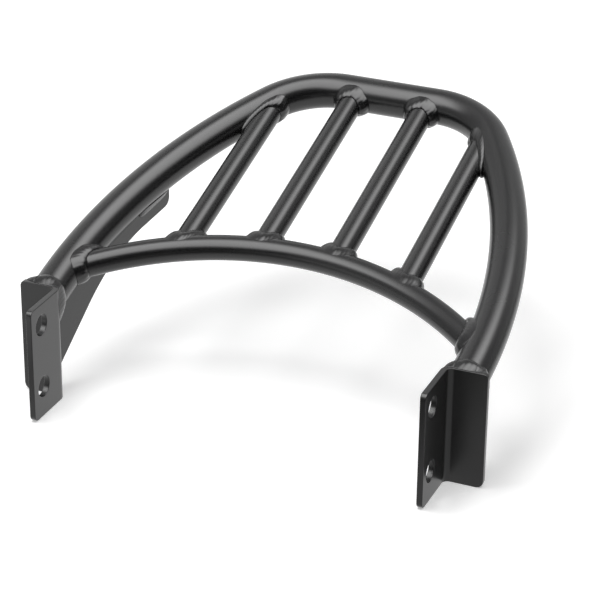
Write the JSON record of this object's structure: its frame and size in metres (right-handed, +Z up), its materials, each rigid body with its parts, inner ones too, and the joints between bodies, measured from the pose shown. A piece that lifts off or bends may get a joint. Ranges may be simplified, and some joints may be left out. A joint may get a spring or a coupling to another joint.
{
  "type": "motorcycle luggage rack",
  "caption": "Welded tube luggage rack: a tilted hoop with lengthwise slats on a bowed cross tube, on gusseted angle brackets that bolt to the fender struts.",
  "frame": {"origin": "on the symmetry plane, on the axis of the upper bolt holes", "axes": "+X across the rack to the right-hand bracket, +Y to the rear, +Z up"},
  "size_m": [0.246, 0.2324, 0.1178],
  "materials": {
    "black_powder_coat": "semi-gloss black powder coat on steel",
    "coated_weld": "semi-gloss black powder coat over weld beads"
  },
  "bodies": {
    "root": {"hoop_tube": "black_powder_coat", "cross_tube": "black_powder_coat", "slat_1": "black_powder_coat", "slat_2": "black_powder_coat", "slat_3": "black_powder_coat", "slat_4": "black_powder_coat", "bracket_left": "black_powder_coat", "bracket_right": "black_powder_coat", "gusset_left": "black_powder_coat", "gusset_right": "black_powder_coat", "slat_1_front_weld": "coated_weld", "slat_2_front_weld": "coated_weld", "slat_3_front_weld": "coated_weld", "slat_4_front_weld": "coated_weld", "slat_1_rear_weld": "coated_weld", "slat_2_rear_weld": "coated_weld", "slat_3_rear_weld": "coated_weld", "slat_4_rear_weld": "coated_weld", "cross_weld_left": "coated_weld", "cross_weld_right": "coated_weld", "hoop_weld_left": "coated_weld", "hoop_weld_right": "coated_weld", "gusset_weld_left": "coated_weld", "gusset_weld_right": "coated_weld", "gusset_foot_weld_left": "coated_weld", "gusset_foot_weld_right": "coated_weld"}
  },
  "joints": []
}
